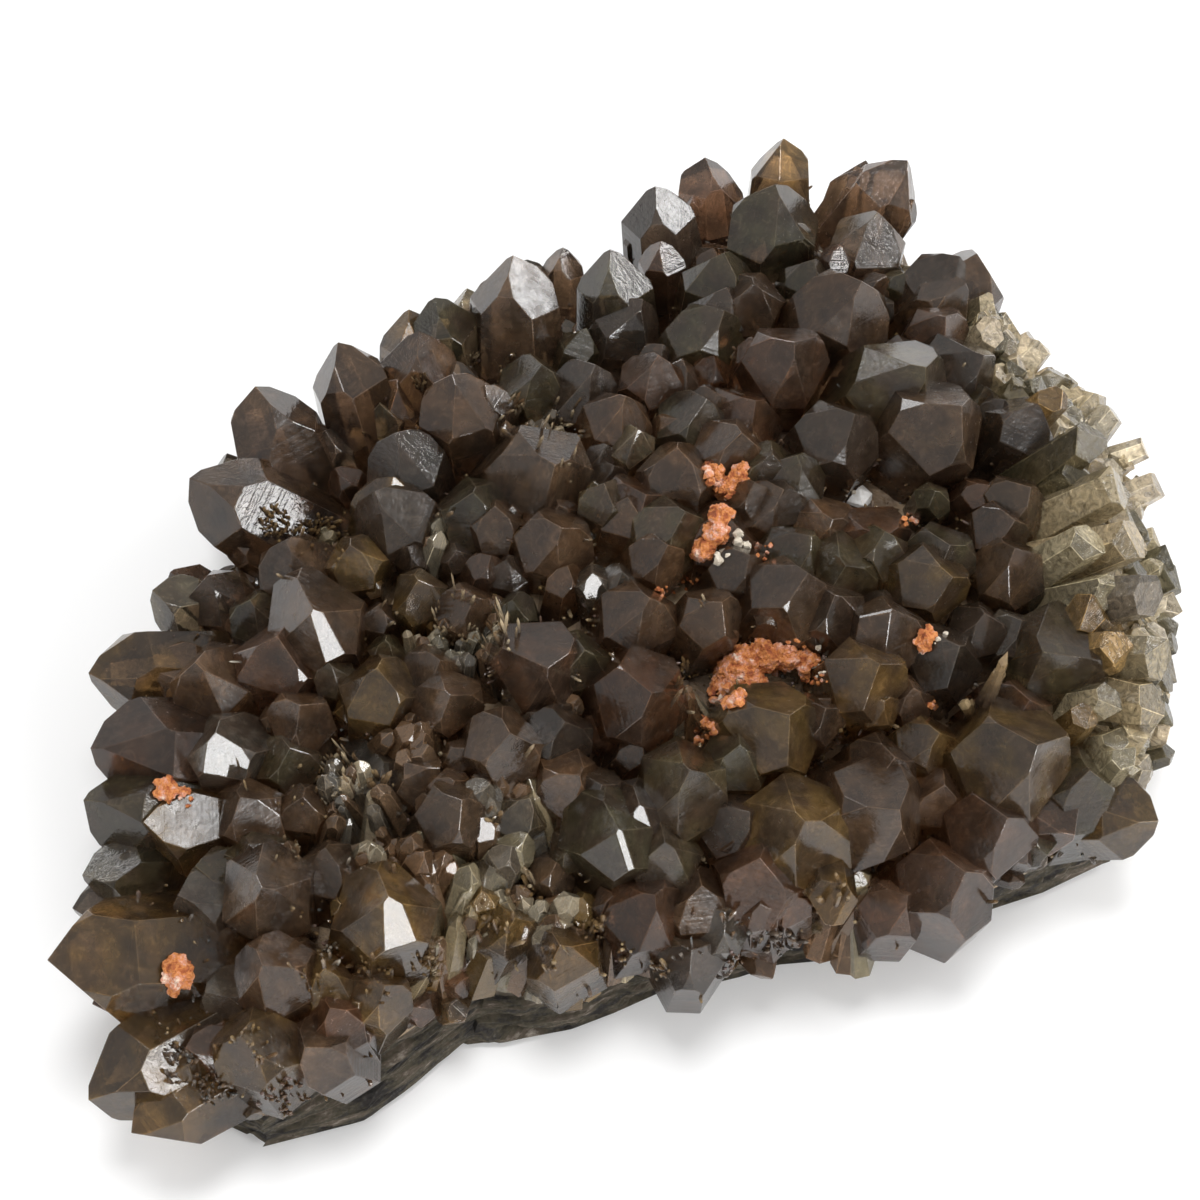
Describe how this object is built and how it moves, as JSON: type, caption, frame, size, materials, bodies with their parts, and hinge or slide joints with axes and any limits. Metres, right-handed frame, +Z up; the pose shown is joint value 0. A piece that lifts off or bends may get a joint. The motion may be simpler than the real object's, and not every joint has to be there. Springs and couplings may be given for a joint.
{
  "type": "smoky quartz cluster",
  "caption": "Slab-shaped cluster of stubby smoky quartz points crowded on a flat base of dark foliated rock, with small rusty iron oxide crusts.",
  "frame": {"origin": "centre of the underside's level, under the middle of the whole cluster's box", "axes": "+Z up from the flat underside, -Y the straight broken front edge that shows the host rock, +X the fractured pale edge"},
  "size_m": [0.1847, 0.1984, 0.0475],
  "materials": {
    "host_rock": "dark foliated rock with a faint metallic glint",
    "smoky_quartz": "see-through smoky brown crystal with frosted faces",
    "iron_oxide": "matt earthy crust",
    "white_chip": "matt white mineral"
  },
  "bodies": {
    "root": {"host_rock": "host_rock", "quartz_crystals": "smoky_quartz", "iron_oxide_middle": "iron_oxide", "iron_oxide_upper": "iron_oxide", "iron_oxide_centre": "iron_oxide", "iron_oxide_left": "iron_oxide", "iron_oxide_corner": "iron_oxide", "iron_oxide_right": "iron_oxide", "white_chip": "white_chip"}
  },
  "joints": []
}
